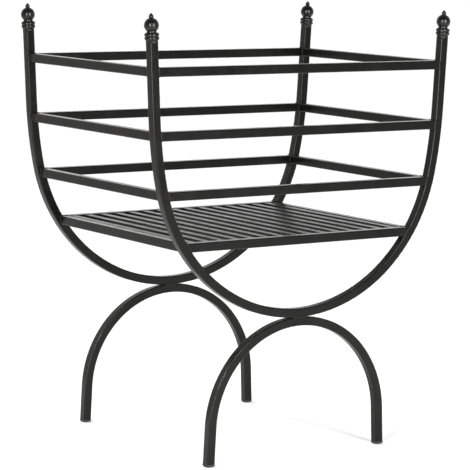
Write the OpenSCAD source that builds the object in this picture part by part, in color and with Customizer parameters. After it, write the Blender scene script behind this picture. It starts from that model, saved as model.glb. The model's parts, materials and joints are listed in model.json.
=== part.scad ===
// Firewood log rack: two bent-tube hoops with finials, standing on arched legs and joined by
// four levels of rails and a slatted grate.
// X runs along the logs, Y from front to rear, and Z up from the floor.

/* [Tube] */
// Side of the square tube of the hoops, leg arches and rails, with its coat
tube_w = 10.3; // [9.3:0.5:12.3]
// Radius of the tube's outer corners
tube_corner = 1.3; // [1.3:0.1:2.5]
// Thickness of the tube's wall
tube_wall = 1; // [0.8:0.1:1.2]

/* [Hoops] */
// Distance between the front and rear hoops, middle to middle
hoop_spacing = 272; // [200:2:340]
// Height of the middle of the tube at the hoop's lowest point
hoop_z = 166; // [158:4:170]
// Bend radius of the hoop's round bottom
hoop_r = 190; // [180, 190, 192, 200]
// Angle that the round bottom turns through on each side
hoop_turn = 78; // [76, 78]
// Outward lean of the straight arms
arm_lean = 3; // [3, 5]
// Height of the arms' tops
arm_top = 476; // [460:4:520]

/* [Leg arches] */
// Bend radius of the arches
arch_r = 117; // [105, 110, 115, 117, 120, 125]
// Outward lean of the straight legs
leg_lean = 2.5; // [0.5, 2.5, 3, 4]
// Depth that each arch's crown is ground away to seat under its hoop
crown_seat = 0.4; // [0.2:0.1:0.6]

/* [Rails] */
// Heights of the rails' middles, from the top level down
rail_z = [444, 374, 308, 250]; // [230:4:450]
// How far the side rails' lower edges stand in from the hoops' outer faces
side_rail_inset = 2; // [0:0.5:4]

/* [Grate] */
// Number of bars
grate_bars = 15; // [8:1:20]
// Width of each bar
bar_w = 9; // [5:0.5:12]
// Gap between the outer bars and the side rails
bar_margin = 3; // [0.5:0.5:12]
// Thickness of each bar
bar_t = 4; // [3:0.5:8]
// How far the bars lie below the tops of the lowest rails
bar_drop = 0.5; // [0:0.1:2]

/* [Finials] */
// Diameter of the ball
ball_d = 16.3; // [14:0.1:18]
// Height of the ball's centre above the arm's top
ball_z = 18.5; // [18:0.5:22]
// Diameter of the collar
collar_d = 16.3; // [14:0.1:18]
// Diameter of the bud on top of the ball
bud_d = 5.4; // [4:0.1:6]
// Height of the bud's tip above its widest part
bud_l = 3.8; // [3.5:0.1:5]

/* [Foot plugs] */
// Side of the plug's head
plug_w = 10.6; // [10.3:0.1:11]
// Thickness of the plug's head
plug_t = 3; // [2.5:0.5:5]
// Length of the shank inside the leg
shank_l = 12; // [8:1:18]

/* [Hidden] */
$fn = 128;
// Bend radius of the hoop's shoulders, between its round bottom and its arms
shoulder_r = 500;
STEEL = [0.17, 0.17, 0.16];
NYLON = [0.06, 0.06, 0.06];

ENDS = ["front", "rear"];
SIDES = ["left", "right"];
LEVELS = len(rail_z);

half_w = tube_w / 2;
bore_w = tube_w - 2 * tube_wall;
cutter_extra = 2;                        // how much wider than the tube a cutter is
rail_span = hoop_spacing - tube_w;       // clear distance between the two hoops

// Centres of the bends, and where one stretch of a line passes into the next
bowl_z = hoop_z + hoop_r;
shoulder_x = (hoop_r - shoulder_r) * sin(hoop_turn);
shoulder_z = bowl_z - (hoop_r - shoulder_r) * cos(hoop_turn);
arm_start_x = shoulder_x + shoulder_r * cos(arm_lean);
arm_start_z = shoulder_z - shoulder_r * sin(arm_lean);
arm_l = (arm_top - arm_start_z) / cos(arm_lean);
arch_z = hoop_z - tube_w + crown_seat - arch_r;
leg_start_x = arch_r * cos(leg_lean);
leg_start_z = arch_z + arch_r * sin(leg_lean);

// Distance from the middle of the rack to the hoop at height z, measured to the line that
// lies `out` beyond the middle of the tube
function hoop_x(z, out = 0) =
    z < bowl_z - (hoop_r + out) * cos(hoop_turn)
        ? sqrt(pow(hoop_r + out, 2) - pow(z - bowl_z, 2))
    : z < shoulder_z - (shoulder_r + out) * sin(arm_lean)
        ? shoulder_x + sqrt(pow(shoulder_r + out, 2) - pow(z - shoulder_z, 2))
    : arm_start_x + out / cos(arm_lean) + (z - arm_start_z) * tan(arm_lean);

// Distance from the middle of the rack to a leg's middle line at height z
function leg_x(z) = leg_start_x + (leg_start_z - z) * tan(leg_lean);

// Distance from the middle of the rack to a side rail's middle at a level
function side_rail_x(level) =
    hoop_x(rail_z[level - 1] - half_w, half_w) - side_rail_inset - half_w;

function end_y(end) = (end == "front" ? -1 : 1) * hoop_spacing / 2;
function side_sign(side) = side == "left" ? -1 : 1;

// ---- Sections ----

// A rectangle with round corners
module round_rect(w, h, r) {
    square([w - 2 * r, h], center = true);
    square([w, h - 2 * r], center = true);
    for (x = [-1, 1]) for (y = [-1, 1])
        translate([x * (w / 2 - r), y * (h / 2 - r)]) circle(r);
}

// The square tube's section
module tube_section() {
    difference() {
        round_rect(tube_w, tube_w, tube_corner);
        round_rect(bore_w, bore_w, tube_corner - tube_wall);
    }
}

// A plain section, wider than the tube front to rear, that shapes whatever butts against it
module cutter_section() {
    square([tube_w, tube_w + cutter_extra], center = true);
}

// ---- Bent lines: each sweeps the section it is given ----
// A line is drawn flat in the XY plane and then stood up

// Stands a flat drawing up in the XZ plane
module stand_up() {
    rotate([90, 0, 0]) children();
}

// Both halves of a line, from its right half
module both_sides() {
    for (side = SIDES) mirror([1 - side_sign(side), 0, 0]) children();
}

// A bend about the origin, turning from one angle to the other
module bend(r, from, to) {
    rotate(from) rotate_extrude(angle = to - from) translate([r, 0]) children();
}

// A straight stretch from the origin, along +Y or -Y
module straight(l, way) {
    rotate([-90 * way, 0, 0]) linear_extrude(l) children();
}

// The hoop's line: round bottom, a shoulder on each side, and a straight arm on each side
module hoop_sweep() {
    stand_up() {
        translate([0, bowl_z]) bend(hoop_r, -90 - hoop_turn, hoop_turn - 90) children();
        both_sides() {
            translate([shoulder_x, shoulder_z])
                bend(shoulder_r, hoop_turn - 90, -arm_lean) children();
            translate([arm_start_x, arm_start_z]) rotate(-arm_lean)
                straight(arm_l, 1) children();
        }
    }
}

// The leg arch's line: a round top, and a straight leg on each side that runs on past the floor
module arch_sweep() {
    stand_up() translate([0, arch_z]) {
        bend(arch_r, leg_lean, 180 - leg_lean) children();
        both_sides() rotate(leg_lean) translate([arch_r, 0])
            straight(leg_start_z + tube_w, -1) children();
    }
}

// ---- Pieces ----

module hoop(end) {
    color(STEEL) translate([0, end_y(end), 0]) hoop_sweep() tube_section();
}

// The arch's crown is ground to the hoop's curve, and its legs are cut level at the plugs
module leg_arch(end) {
    reach = 2 * (arch_r + tube_w);
    color(STEEL) translate([0, end_y(end), 0]) difference() {
        arch_sweep() tube_section();
        hoop_sweep() cutter_section();
        translate([-reach / 2, -tube_w, plug_t - tube_w * 3])
            cube([reach, 2 * tube_w, tube_w * 3]);
    }
}

// A front or rear rail, its ends shaped to the inside of the hoop
module cross_rail(end, level) {
    z = rail_z[level - 1];
    color(STEEL) translate([0, end_y(end), 0]) difference() {
        translate([0, 0, z]) rotate([0, 90, 0])
            linear_extrude(2 * hoop_x(z), center = true) tube_section();
        hoop_sweep() cutter_section();
    }
}

// A side rail, butted between the front and rear hoops
module side_rail(side, level) {
    color(STEEL) translate([side_sign(side) * side_rail_x(level), 0, rail_z[level - 1]])
        rotate([90, 0, 0]) linear_extrude(rail_span, center = true) tube_section();
}

// A flat bar of the grate, number i from the left, butted between the lowest cross rails
module grate_bar(i) {
    pitch = (2 * (side_rail_x(LEVELS) - half_w - bar_margin) - bar_w) / (grate_bars - 1);
    top = rail_z[LEVELS - 1] + half_w - bar_drop;
    edge_r = 0.6;
    color(STEEL) translate([(i - (grate_bars + 1) / 2) * pitch, 0, top - bar_t / 2])
        rotate([90, 0, 0]) linear_extrude(rail_span, center = true)
            round_rect(bar_w, bar_t, edge_r);
}

// Half of the finial's outline, to the right of its axis, with z = 0 at the arm's top
module finial_outline() {
    waist_r = 6.6;                       // round foot on the arm's top
    waist_z = 0.6;
    cone_r = collar_d / 2 - 1;           // top of the cone under the collar
    ring_r = 2.4;                        // half the thickness of each of the collar's rings
    ring_z = [4.6, 8.4];                 // the middles of the lower and upper rings
    ring_x = collar_d / 2 - ring_r;
    groove_r = collar_d / 2 - 0.7;       // bottom of the groove between the rings
    neck_r = 5.4;                        // under the ball
    bud_z = ball_z + ball_d / 2 + 1.3;
    tip_base = 0.93 * bud_d / 2;
    tip_r = 0.4;
    spigot_r = bore_w / 2 - 0.2;         // stands in the arm's bore
    spigot_l = 10;
    translate([0, -spigot_l]) square([spigot_r, spigot_l + 1]);
    polygon([[0, 0], [waist_r, 0], [waist_r, waist_z], [cone_r, ring_z[0] - ring_r / 2],
             [cone_r, ring_z[0]], [0, ring_z[0]]]);
    for (z = ring_z) translate([ring_x, z]) circle(ring_r);
    translate([0, ring_z[0] - ring_r]) square([ring_x, ring_z[1] - ring_z[0] + 2 * ring_r]);
    translate([0, ring_z[0]]) square([groove_r, ring_z[1] - ring_z[0]]);
    square([neck_r, ball_z]);
    translate([0, ball_z]) circle(ball_d / 2);
    translate([0, bud_z]) circle(bud_d / 2);
    // The tip is a cone that starts a little inside the bud's round
    translate([0, bud_z]) polygon([
        [0, 0], [tip_base * cos(25), tip_base * sin(25)], [tip_r, bud_l], [0, bud_l]
    ]);
}

module finial(end, side) {
    out = 20;
    color(STEEL) translate([side_sign(side) * hoop_x(arm_top), end_y(end), arm_top])
        rotate([0, side_sign(side) * arm_lean, 0]) rotate_extrude() intersection() {
            finial_outline();
            translate([0, -out]) square([out, 4 * out]);
        }
}

// A moulded plug: a low domed head under the leg, and a ribbed shank inside it
module foot_plug(end, side) {
    sole_r = 5;                          // flat circle that meets the floor
    dome_z = 8;
    dome_r = sqrt(pow(dome_z, 2) + pow(sole_r, 2));
    shank_w = bore_w - 1;
    rib_w = bore_w - 0.2;
    rib_t = 1;
    ribs = 3;
    edge_r = 0.5;
    color(NYLON) translate([side_sign(side) * leg_x(plug_t), end_y(end), 0]) {
        intersection() {
            linear_extrude(plug_t) round_rect(plug_w, plug_w, tube_corner);
            translate([0, 0, dome_z]) sphere(dome_r);
        }
        translate([0, 0, plug_t]) rotate([0, -side_sign(side) * leg_lean, 0]) {
            translate([0, 0, -1]) linear_extrude(shank_l + 1)
                round_rect(shank_w, shank_w, edge_r);
            for (i = [1:ribs]) translate([0, 0, i * shank_l / (ribs + 1)])
                linear_extrude(rib_t) round_rect(rib_w, rib_w, tube_corner - tube_wall);
        }
    }
}

// ---- Assembly ----

for (end = ENDS) hoop(end);

for (end = ENDS) leg_arch(end);

for (end = ENDS) for (level = [1:LEVELS])
    cross_rail(end, level);

for (side = SIDES) for (level = [1:LEVELS])
    side_rail(side, level);

for (i = [1:grate_bars]) grate_bar(i);

for (end = ENDS) for (side = SIDES)
    finial(end, side);

for (end = ENDS) for (side = SIDES)
    foot_plug(end, side);
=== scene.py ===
"""Firewood log rack: coats, weld beads, floor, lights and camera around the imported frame.

Lengths are in metres and angles in degrees. X runs along the logs, -Y is the front, +Z is up.
"""

import json
import math
import random

import bpy
from mathutils import Matrix, Vector, noise
from mathutils.bvhtree import BVHTree


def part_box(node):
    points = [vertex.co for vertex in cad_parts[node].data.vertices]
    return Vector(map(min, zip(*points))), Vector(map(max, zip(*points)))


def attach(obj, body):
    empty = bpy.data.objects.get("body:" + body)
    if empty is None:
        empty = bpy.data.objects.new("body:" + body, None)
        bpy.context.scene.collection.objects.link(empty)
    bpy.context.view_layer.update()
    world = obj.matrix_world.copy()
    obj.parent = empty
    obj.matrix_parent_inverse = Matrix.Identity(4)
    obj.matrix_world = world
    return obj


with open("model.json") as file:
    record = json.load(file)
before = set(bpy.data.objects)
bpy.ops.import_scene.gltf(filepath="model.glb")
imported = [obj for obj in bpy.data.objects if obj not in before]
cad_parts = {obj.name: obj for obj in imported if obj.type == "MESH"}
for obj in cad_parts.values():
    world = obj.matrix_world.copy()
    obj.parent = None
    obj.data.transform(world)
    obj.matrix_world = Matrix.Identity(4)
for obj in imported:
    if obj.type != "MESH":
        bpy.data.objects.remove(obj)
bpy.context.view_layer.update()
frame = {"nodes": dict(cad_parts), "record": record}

MM = 0.001
ENDS = ("front", "rear")
SIDES = {"left": -1, "right": 1}
LEVELS = (1, 2, 3, 4)
GRATE_BARS = sum(name.startswith("grate_bar_") for name in frame["nodes"])

random.seed(11)


# ---- Measures taken from the frame ----

def middle(node):
    """The middle of a CAD node's box."""
    low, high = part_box(node)
    return (low + high) / 2


TUBE_HALF = (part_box("front_hoop")[1].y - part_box("front_hoop")[0].y) / 2
CORNER = 1.3 * MM                # outer corner radius of the square tube
ARM_LEAN = 3                     # outward lean of the hoops' arms

TREES = {}                       # one ray tree for each hoop, made when it is first asked for


def inner_face_x(end, side, z):
    """Where the hoop's inner face stands at height z, found by a ray from the middle."""
    node = f"{end}_hoop"
    if node not in TREES:
        TREES[node] = BVHTree.FromObject(
            frame["nodes"][node], bpy.context.evaluated_depsgraph_get())
    start = Vector((0, middle(node).y, z))
    return TREES[node].ray_cast(start, Vector((SIDES[side], 0, 0)))[0].x


# ---- Material nodes ----

MIX_COLOURS = (6, 7)             # the Mix node's colour inputs, whose names others share
MIX_RESULT = 2                   # and its colour output


class Nodes:
    """A short way to write a node tree."""

    def __init__(self, tree):
        self.tree = tree
        tree.nodes.clear()

    def add(self, kind, settings=None, **inputs):
        """A new node. Inputs are values or other nodes' sockets, with _ for a space."""
        node = self.tree.nodes.new(kind)
        for name, value in (settings or {}).items():
            setattr(node, name, value)
        for name, value in inputs.items():
            self.put(node.inputs[name.replace("_", " ")], value)
        return node

    def put(self, socket, value):
        """Links another node's socket, or sets a constant."""
        if isinstance(value, bpy.types.NodeSocket):
            self.tree.links.new(value, socket)
        else:
            socket.default_value = value

    def math(self, operation, *values):
        """A Math node's result."""
        node = self.add("ShaderNodeMath", {"operation": operation})
        for socket, value in zip(node.inputs, values):
            self.put(socket, value)
        return node.outputs[0]

    def dot(self, first, direction):
        """How far first goes along a direction."""
        node = self.add("ShaderNodeVectorMath", {"operation": "DOT_PRODUCT"})
        self.put(node.inputs[0], first)
        self.put(node.inputs[1], direction)
        return node.outputs["Value"]

    def ramp(self, value, low, high, to_low, to_high):
        """value from low..high to to_low..to_high, clamped."""
        node = self.add("ShaderNodeMapRange", Value=value)
        for name, number in zip(
                ("From Min", "From Max", "To Min", "To Max"), (low, high, to_low, to_high)):
            self.put(node.inputs[name], number)
        return node.outputs["Result"]

    def noise(self, where, size, detail=2.0, roughness=0.5):
        """Noise with lumps of about that size."""
        node = self.add("ShaderNodeTexNoise", Vector=where, Scale=1 / size,
                        Detail=detail, Roughness=roughness)
        return node.outputs["Fac"]

    def mix(self, factor, first, second):
        """first where factor is 0, second where it is 1."""
        node = self.add("ShaderNodeMix", {"data_type": "RGBA"}, Factor=factor)
        for index, colour in zip(MIX_COLOURS, (first, second)):
            self.put(node.inputs[index], colour)
        return node.outputs[MIX_RESULT]

    def object_point(self):
        """The point on the surface, in the object's own axes."""
        return self.add("ShaderNodeTexCoord").outputs["Object"]

    def facing_up(self):
        """1 on a face that looks up, -1 on one that looks down."""
        normal = self.add("ShaderNodeNewGeometry").outputs["Normal"]
        return self.add("ShaderNodeSeparateXYZ", Vector=normal).outputs["Z"]


def new_material(name):
    """An empty node material and the tree to fill."""
    material = bpy.data.materials.new(name)
    material.use_nodes = True
    return material, Nodes(material.node_tree)


def shade(colour, factor):
    """An RGBA colour, lightened or darkened."""
    return (*(min(channel * factor, 1) for channel in colour[:3]), 1)


# The coats. A shade is a part of the record's colour. A band is the part of a noise's range
# over which a feature comes in.
PATCH_SHADES = (0.08, 0.16)      # slow changes of the tone
PATCH_SIZE = 35 * MM
PATCH_BAND = (0.35, 0.65)
FLECK_SHADE = 0.5                # small paler specks
FLECK_SIZE = 1.6 * MM
FLECK_BAND = (0.62, 0.78)
FLECK_COVER = (0, 0.35)
# A paler colour on faces that look up: settled dust, and also a painted highlight that lightens
# the tops.
DUST_AND_SHEEN_COLOUR = (0.16, 0.155, 0.145, 1)
DUST_AND_SHEEN_FACING = (0.55, 0.98)       # how far up a face looks where the dust and painted top highlight begin, and where they are full
DUST_AND_SHEEN_SIZE = 9 * MM
DUST_AND_SHEEN_BAND = (0.35, 0.7)
DUST_AND_SHEEN_PATCHES = (0.35, 1)         # the thinnest and the thickest patches, as parts of a coat's dust and painted highlight
DUST_AND_SHEEN_ROUGHNESS = 0.2             # what the full dust and painted highlight add to the roughness
GLOSS_SIZE = 12 * MM             # mottling of the gloss
GLOSS_BAND = (0.3, 0.7)
GLOSS_CHANGE = (-0.04, 0.05)     # what it adds to the roughness
LUMP_SIZE = 14 * MM              # slow unevenness under the peel


def powder_coat(name, colour, gloss, grain, relief, lumps, dust_and_sheen, specular=0.22):
    """Powder-coated steel: fine orange peel over slower unevenness, mottled gloss, and settled
    dust on whatever faces up, whose paler colour is also a painted highlight on the tops. gloss
    is the roughness, grain the peel's size and relief its depth, lumps the depth of the slow
    unevenness, and dust_and_sheen the most dust and painted highlight, from 0 to 1."""
    material, n = new_material(name)
    where = n.object_point()

    patches = n.ramp(n.noise(where, PATCH_SIZE, detail=3), *PATCH_BAND, 0, 1)
    flecks = n.ramp(n.noise(where, FLECK_SIZE, detail=3, roughness=0.7),
                    *FLECK_BAND, *FLECK_COVER)
    # Paler colour on upward faces: settled dust, and partly a painted highlight on the tops.
    dust_and_sheen_mask = n.math("MULTIPLY", n.ramp(n.facing_up(), *DUST_AND_SHEEN_FACING, 0, dust_and_sheen),
                     n.ramp(n.noise(where, DUST_AND_SHEEN_SIZE, detail=4), *DUST_AND_SHEEN_BAND, *DUST_AND_SHEEN_PATCHES))
    tone = n.mix(patches, *(shade(colour, factor) for factor in PATCH_SHADES))
    tone = n.mix(flecks, tone, shade(colour, FLECK_SHADE))
    tone = n.mix(dust_and_sheen_mask, tone, DUST_AND_SHEEN_COLOUR)

    mottle = n.ramp(n.noise(where, GLOSS_SIZE, detail=3), *GLOSS_BAND, *GLOSS_CHANGE)
    rough = n.math("ADD", mottle, gloss)
    rough = n.math("ADD", rough, n.math("MULTIPLY", dust_and_sheen_mask, DUST_AND_SHEEN_ROUGHNESS))

    slow = n.add("ShaderNodeBump", Height=n.noise(where, LUMP_SIZE), Strength=1.0, Distance=lumps)
    peel = n.add("ShaderNodeBump", Height=n.noise(where, grain, detail=2.5), Strength=1.0,
                 Distance=relief, Normal=slow.outputs["Normal"])
    shader = n.add("ShaderNodeBsdfPrincipled", Base_Color=tone, Roughness=rough,
                   Normal=peel.outputs["Normal"], Specular_IOR_Level=specular)
    n.add("ShaderNodeOutputMaterial", Surface=shader.outputs["BSDF"])
    return material


SCUFF_COLOUR = (0.09, 0.088, 0.082, 1)
SCUFF_FACING = (-0.9, -0.5)      # how far down a face looks where scuffs lie fully, and end
SCUFF_SIZE = 1.2 * MM
SCUFF_BAND = (0.45, 0.7)
SCUFF_COVER = (0, 0.5)
PLASTIC_GRAIN = 0.35 * MM
PLASTIC_RELIEF = 0.04 * MM
PLASTIC_BAND = (0.3, 0.7)
PLASTIC_ROUGHNESS = (0.5, 0.68)


def moulded_plastic(name, colour):
    """Matte injection-moulded plastic with a spark-eroded grain and paler scuffs underneath."""
    material, n = new_material(name)
    where = n.object_point()
    scuffs = n.math("MULTIPLY", n.ramp(n.facing_up(), *SCUFF_FACING, 1, 0),
                    n.ramp(n.noise(where, SCUFF_SIZE, detail=4), *SCUFF_BAND, *SCUFF_COVER))
    tone = n.mix(scuffs, shade(colour, 1), SCUFF_COLOUR)
    grain = n.noise(where, PLASTIC_GRAIN, detail=2)
    bump = n.add("ShaderNodeBump", Height=grain, Strength=1.0, Distance=PLASTIC_RELIEF)
    shader = n.add("ShaderNodeBsdfPrincipled", Base_Color=tone,
                   Roughness=n.ramp(grain, *PLASTIC_BAND, *PLASTIC_ROUGHNESS),
                   Normal=bump.outputs["Normal"])
    n.add("ShaderNodeOutputMaterial", Surface=shader.outputs["BSDF"])
    return material


COLOURS = {entry["slot"]: entry["base_color"] for entry in frame["record"]["materials"]}
MATERIALS = {
    "frame_coat": powder_coat("satin_coat_tube", COLOURS["frame_coat"], gloss=0.24,
                              grain=0.9 * MM, relief=0.0035 * MM, lumps=0.01 * MM, dust_and_sheen=0.1),
    "grate_coat": powder_coat("satin_coat_bar", COLOURS["grate_coat"], gloss=0.3,
                              grain=0.9 * MM, relief=0.006 * MM, lumps=0.02 * MM, dust_and_sheen=0.1),
    "finial_coat": powder_coat("satin_coat_cast", COLOURS["finial_coat"], gloss=0.27,
                               grain=1.1 * MM, relief=0.009 * MM, lumps=0.05 * MM, dust_and_sheen=0.04,
                               specular=0.34),
    "plug_nylon": moulded_plastic("moulded_plug", COLOURS["plug_nylon"]),
}
WELD_COAT = powder_coat("satin_coat_weld", COLOURS["frame_coat"], gloss=0.36,
                        grain=0.7 * MM, relief=0.01 * MM, lumps=0.05 * MM, dust_and_sheen=0.08)


def paint_frame():
    """Gives every CAD node the material of its slot in the record."""
    for part in frame["record"]["subparts"]:
        for held in frame["nodes"][part["node"]].material_slots:
            held.material = MATERIALS[part["material_slot"]]


# ---- Weld beads ----

BEAD_STEP = 0.45 * MM            # spacing of a bead's rings
BEAD_SIDES = 10                  # points in each ring
FEWEST_STEPS = 6                 # along a bead
BEAD_END = 0.02                  # keeps the last ring of an open bead from closing to a point
RIPPLE = 1.3 * MM                # spacing of the ripples that the puddle leaves
RIPPLE_DEPTH = 0.1               # as a part of the bead's radius
RIPPLE_LAG = 0.35                # how far a ripple's sides trail, as a part of the radius
UNEVEN = 0.16                    # slow change of the radius, as a part of it
UNEVEN_RATE = 400                # noise steps in a metre
NOISE_SPAN = 99                  # each bead reads the noise from a random place in this span


def resample(points, closed, step):
    """Points along a line at an even spacing."""
    line = points + points[:1] if closed else points
    lengths = [0.0]
    for first, second in zip(line, line[1:]):
        lengths.append(lengths[-1] + (second - first).length)
    count = max(FEWEST_STEPS, round(lengths[-1] / step))
    made = []
    part = 0
    for i in range(count if closed else count + 1):
        along = lengths[-1] * i / count
        while part < len(line) - 2 and lengths[part + 1] < along:
            part += 1
        share = (along - lengths[part]) / max(lengths[part + 1] - lengths[part], 1e-9)
        made.append(line[part].lerp(line[part + 1], share))
    return made


def ring_radius(point, i, count, closed, radius, seed):
    """The bead's radius at its ring i: rippled, uneven, and rounded off at an open end."""
    ripple = math.cos(2 * math.pi * i * BEAD_STEP / RIPPLE)
    wander = noise.noise(point * UNEVEN_RATE + seed)
    wide = radius * (1 + RIPPLE_DEPTH * ripple + UNEVEN * wander)
    if not closed:
        from_end = min(i, count - 1 - i) * BEAD_STEP
        wide *= math.sqrt(max(BEAD_END, 1 - max(0, 1 - from_end / radius) ** 2))
    return wide


def add_bead(verts, faces, points, closed, radius, outward):
    """Adds one bead to a mesh's lists: a round section swept along the points, with crescent
    ripples, an uneven width and, on an open bead, rounded ends. outward is the way it faces."""
    path = resample(points, closed, BEAD_STEP)
    seed = Vector([random.uniform(0, NOISE_SPAN) for _ in range(3)])
    first = len(verts)
    count = len(path)
    for i, point in enumerate(path):
        before = path[i - 1] if closed or i else point
        after = path[(i + 1) % count] if closed or i < count - 1 else point
        along = (after - before).normalized()
        across = along.cross(outward(point)).normalized()
        out = across.cross(along)
        wide = ring_radius(point, i, count, closed, radius, seed)
        for k in range(BEAD_SIDES):
            angle = 2 * math.pi * k / BEAD_SIDES
            lag = along * (-RIPPLE_LAG * radius * abs(math.sin(angle)))
            verts.append(point + lag
                         + (across * math.sin(angle) + out * math.cos(angle)) * wide)
    for i in range(count if closed else count - 1):
        here = first + i * BEAD_SIDES
        there = first + (i + 1) % count * BEAD_SIDES
        for k in range(BEAD_SIDES):
            j = (k + 1) % BEAD_SIDES
            faces.append((here + k, here + j, there + j, there + k))
    if not closed:
        last = first + (count - 1) * BEAD_SIDES
        faces.append(tuple(first + k for k in reversed(range(BEAD_SIDES))))
        faces.append(tuple(last + k for k in range(BEAD_SIDES)))


def weld_piece(name, beads):
    """One piece from several beads, each a (points, closed, radius, outward)."""
    verts = []
    faces = []
    for bead in beads:
        add_bead(verts, faces, *bead)
    mesh = bpy.data.meshes.new(name)
    mesh.from_pydata(verts, [], faces)
    mesh.materials.append(WELD_COAT)
    mesh.shade_smooth()
    piece = bpy.data.objects.new(name, mesh)
    bpy.context.scene.collection.objects.link(piece)
    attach(piece, "root")


def square_loop(half, corner, steps=4):
    """(u, v) round a square with round corners, each taken in that many steps."""
    loop = []
    for quarter in range(4):
        turn = math.radians(90 * quarter)
        centre_u = (half - corner) * (1 if quarter in (0, 3) else -1)
        centre_v = (half - corner) * (1 if quarter in (0, 1) else -1)
        for k in range(steps + 1):
            angle = turn + math.pi / 2 * k / steps
            loop.append((centre_u + corner * math.cos(angle),
                         centre_v + corner * math.sin(angle)))
    return loop


def from_middle(centre):
    """The way from a joint's middle out to a point on its bead."""
    return lambda point: point - centre


RAIL_BEAD = 1.25 * MM            # radius of the beads round a rail's end
SUNK = 0.5 * MM                  # how far a bead's middle lies under the tube's faces


def cross_rail_welds(end, level):
    """Beads round both ends of a front or rear rail, on the hoop's inner faces."""
    centre = middle(f"{end}_rail_{level}")
    beads = []
    for side in SIDES:
        loop = [Vector((inner_face_x(end, side, centre.z + v), centre.y + u, centre.z + v))
                for u, v in square_loop(TUBE_HALF - SUNK, CORNER)]
        joint = Vector((inner_face_x(end, side, centre.z), centre.y, centre.z))
        beads.append((loop, True, RAIL_BEAD, from_middle(joint)))
    weld_piece(f"welds_{end}_rail_{level}", beads)


def side_rail_welds(side, level):
    """Beads round both ends of a side rail, on the hoops' facing sides."""
    node = f"{side}_rail_{level}"
    centre = middle(node)
    low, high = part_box(node)
    beads = []
    for y in (low.y, high.y):
        joint = Vector((centre.x, y, centre.z))
        loop = [joint + Vector((u, 0, v)) for u, v in square_loop(TUBE_HALF - SUNK, CORNER)]
        beads.append((loop, True, RAIL_BEAD, from_middle(joint)))
    weld_piece(f"welds_{side}_rail_{level}", beads)


BAR_BEAD = 0.8 * MM              # radius of the beads under the grate bars


def grate_bar_welds(number):
    """A short bead under each end of a grate bar, turned up at its sides."""
    node = f"grate_bar_{number}"
    low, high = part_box(node)
    beads = []
    for y in (low.y, high.y):
        side_z = (low.z + high.z) / 2
        line = [Vector((low.x, y, side_z)), Vector((low.x, y, low.z)),
                Vector((high.x, y, low.z)), Vector((high.x, y, side_z))]
        joint = Vector(((low.x + high.x) / 2, y, high.z))
        beads.append((line, False, BAR_BEAD, from_middle(joint)))
    weld_piece(f"welds_{node}", beads)


SEAT_BEAD = 1.6 * MM             # radius of the bead between a hoop and its leg arch
SEAT_LENGTH = 18 * MM
SEAT_INSET = 0.75                # its middle's depth under the face, as a part of its radius
SEAT_DROP = 0.25 * MM            # how far its ends lie under its middle
SEAT_STEPS = 8


def seat_welds(end):
    """A bead along each face of the joint where a hoop sits on its leg arch."""
    low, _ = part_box(f"{end}_hoop")
    beads = []
    for face in (-1, 1):
        y = middle(f"{end}_hoop").y + face * (TUBE_HALF - SEAT_BEAD * SEAT_INSET)
        line = []
        for k in range(SEAT_STEPS + 1):
            share = k / SEAT_STEPS
            line.append(Vector((SEAT_LENGTH * (share - 0.5), y,
                                low.z - SEAT_DROP * (2 * share - 1) ** 2)))
        beads.append((line, False, SEAT_BEAD, lambda point, way=face: Vector((0, way, 0))))
    weld_piece(f"welds_{end}_seat", beads)


FINIAL_BEAD = 0.9 * MM           # radius of the bead round a finial's foot
FINIAL_CORNER = 3 * MM           # corner radius of the line that it follows
FINIAL_SUNK = 0.2 * MM           # how far that line lies under the arm's top


def finial_weld(end, side):
    """A small bead round the foot of a finial, on the arm's top."""
    _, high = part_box(f"{end}_hoop")
    lean = math.radians(ARM_LEAN)
    top = Vector((SIDES[side] * (high.x - TUBE_HALF * math.cos(lean)),
                  middle(f"{end}_hoop").y, high.z - TUBE_HALF * math.sin(lean)))
    turn = Matrix.Rotation(lean * SIDES[side], 3, "Y")
    loop = [top + turn @ Vector((u, v, -FINIAL_SUNK))
            for u, v in square_loop(TUBE_HALF, FINIAL_CORNER)]
    weld_piece(f"weld_finial_{end}_{side}",
               [(loop, True, FINIAL_BEAD, from_middle(top))])


def add_welds():
    """All the beads. Their order fixes which random numbers each one gets."""
    for end in ENDS:
        seat_welds(end)
        for level in LEVELS:
            cross_rail_welds(end, level)
        for side in SIDES:
            finial_weld(end, side)
    for side in SIDES:
        for level in LEVELS:
            side_rail_welds(side, level)
    for number in range(1, GRATE_BARS + 1):
        grate_bar_welds(number)


# ---- Camera ----

CAMERA_YAW = -34.22              # turn from looking along +Y, anticlockwise from above
CAMERA_PITCH = 7.72              # how far it looks down
CAMERA_ROLL = 0.98
CAMERA_DISTANCE = 2.742          # from the aim point, along the view
CAMERA_OFFSET = (0.0035, -0.0611)  # right and up from the line through the aim point
AIM = Vector((0, 0, 0.3))        # the point that the camera and the softboxes look at
LENS = 177.9                     # on the 36 mm sensor
CLIP_END = 100


def view_axes():
    """The camera's right, up and forward directions before its roll."""
    yaw = math.radians(CAMERA_YAW)
    pitch = math.radians(CAMERA_PITCH)
    forward = Vector((-math.sin(yaw) * math.cos(pitch), math.cos(yaw) * math.cos(pitch),
                      -math.sin(pitch)))
    right = Vector((math.cos(yaw), math.sin(yaw), 0))
    return right, right.cross(forward), forward


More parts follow.
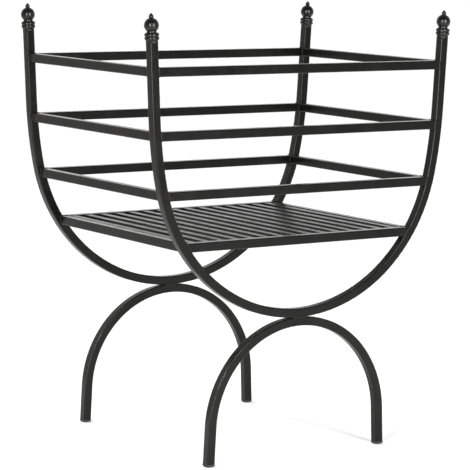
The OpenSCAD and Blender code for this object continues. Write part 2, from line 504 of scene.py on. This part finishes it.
def add_camera():
    """The camera: along the view from the aim point, offset across it, then rolled."""
    right, up, forward = view_axes()
    data = bpy.data.cameras.new("camera")
    data.lens = LENS
    data.clip_end = CLIP_END
    camera = bpy.data.objects.new("camera", data)
    place = AIM - forward * CAMERA_DISTANCE + right * CAMERA_OFFSET[0] + up * CAMERA_OFFSET[1]
    roll = math.radians(CAMERA_ROLL)
    rolled_right = right * math.cos(roll) + up * math.sin(roll)
    rolled_up = up * math.cos(roll) - right * math.sin(roll)
    turn = Matrix((rolled_right, rolled_up, -forward)).transposed()
    camera.matrix_world = Matrix.Translation(place) @ turn.to_4x4()
    bpy.context.scene.collection.objects.link(camera)
    bpy.context.scene.camera = camera


# ---- Floor and light ----

FLOOR_REACH = 30                 # half the floor's width
FLOOR_COLOUR = (0.56, 0.55, 0.51, 1)
PAPER_COLOUR = (0.9, 0.9, 0.9, 1)
PAPER_FRONT = -0.9               # where the white paper ends, towards the camera
PAPER_HALF = 0.85                # half its width beside the rack
PAPER_FAN = 1.0                  # how fast it widens away from the camera
PAPER_EDGE = 0.4                 # half the width of its soft edge


def studio_floor():
    """A sheet of white paper that runs away from the camera, on a pale, slightly warm floor."""
    corners = [(x * FLOOR_REACH, y * FLOOR_REACH, 0)
               for x, y in ((-1, -1), (1, -1), (1, 1), (-1, 1))]
    mesh = bpy.data.meshes.new("floor")
    mesh.from_pydata(corners, [], [(0, 1, 2, 3)])
    material, n = new_material("studio_floor")
    right, _, forward = view_axes()
    where = n.object_point()
    away = n.dot(where, Vector((forward.x, forward.y, 0)).normalized())
    aside = n.math("SUBTRACT", n.math("ABSOLUTE", n.dot(where, right)),
                   n.math("MULTIPLY", n.math("MAXIMUM", away, 0), PAPER_FAN))
    paper = n.math("MULTIPLY",
                   n.ramp(away, PAPER_FRONT - PAPER_EDGE, PAPER_FRONT + PAPER_EDGE, 0, 1),
                   n.ramp(aside, PAPER_HALF - PAPER_EDGE, PAPER_HALF + PAPER_EDGE, 1, 0))
    shader = n.add("ShaderNodeBsdfDiffuse", Color=n.mix(paper, FLOOR_COLOUR, PAPER_COLOUR))
    n.add("ShaderNodeOutputMaterial", Surface=shader.outputs["BSDF"])
    mesh.materials.append(material)
    floor = bpy.data.objects.new("floor", mesh)
    bpy.context.scene.collection.objects.link(floor)


WALL_RISE = 0.15                 # how far up the bright wall's middle is, as a slope
WALL_BAND = (-0.3, 0.9)          # cosine from the wall's middle where the near side's level
WALL_LEVELS = (0.18, 1.35)       # gives way to the wall's, and those two levels
CEILING_BAND = (0.3, 0.75)       # height, as the direction's Z, over which it darkens
CEILING_LEVEL = 0.35             # level overhead, as a part of the level below it


def surroundings():
    """A world with a bright wall behind the rack, and darker overhead and on the near side."""
    world = bpy.data.worlds.new("studio")
    bpy.context.scene.world = world
    world.use_nodes = True
    n = Nodes(world.node_tree)
    _, _, forward = view_axes()
    way = n.add("ShaderNodeTexCoord").outputs["Generated"]
    behind = n.dot(way, Vector((forward.x, forward.y, WALL_RISE)).normalized())
    height = n.add("ShaderNodeSeparateXYZ", Vector=way).outputs["Z"]
    level = n.math("MULTIPLY", n.ramp(behind, *WALL_BAND, *WALL_LEVELS),
                   n.ramp(height, *CEILING_BAND, 1, CEILING_LEVEL))
    sky = n.add("ShaderNodeBackground", Color=(1, 1, 1, 1), Strength=level)
    n.add("ShaderNodeOutputWorld", Surface=sky.outputs["Background"])


SOFTBOX_ELEVATION = 10
SOFTBOX_DISTANCE = 3.0
SOFTBOX_SIZE = (0.6, 1.7)        # width and height
SOFTBOXES = {"left": (-19, 85), "right": (35, 110)}  # turn from the camera's side, and watts


def softbox(name, azimuth, power):
    """An area light that looks at the rack. Azimuth 0 is in front, 90 on the right."""
    turn = math.radians(azimuth)
    rise = math.radians(SOFTBOX_ELEVATION)
    way = Vector((math.sin(turn) * math.cos(rise), -math.cos(turn) * math.cos(rise),
                  math.sin(rise)))
    data = bpy.data.lights.new(name, "AREA")
    data.shape = "RECTANGLE"
    data.size, data.size_y = SOFTBOX_SIZE
    data.energy = power
    light = bpy.data.objects.new(name, data)
    light.location = AIM + way * SOFTBOX_DISTANCE
    light.rotation_mode = "QUATERNION"
    light.rotation_quaternion = way.to_track_quat("Z", "Y")
    bpy.context.scene.collection.objects.link(light)


OVERHEAD_POWER = 2.9
OVERHEAD_ANGLE = 80              # how wide it is, for soft shadows
OVERHEAD_TILT = (-25, -20)       # about X and about Y


def overhead():
    """A broad light from above that the glossy coats don't mirror."""
    data = bpy.data.lights.new("overhead", "SUN")
    data.energy = OVERHEAD_POWER
    data.angle = math.radians(OVERHEAD_ANGLE)
    light = bpy.data.objects.new("overhead", data)
    light.rotation_euler = (*(math.radians(tilt) for tilt in OVERHEAD_TILT), 0)
    light.visible_glossy = False
    bpy.context.scene.collection.objects.link(light)


def studio():
    """The surroundings, the lights, the floor and plain colour handling."""
    surroundings()
    for name, (turn, power) in SOFTBOXES.items():
        softbox(f"softbox_{name}", CAMERA_YAW + turn, power)
    overhead()
    studio_floor()
    bpy.context.scene.view_settings.view_transform = "Standard"


add_camera()
studio()
paint_frame()
add_welds()
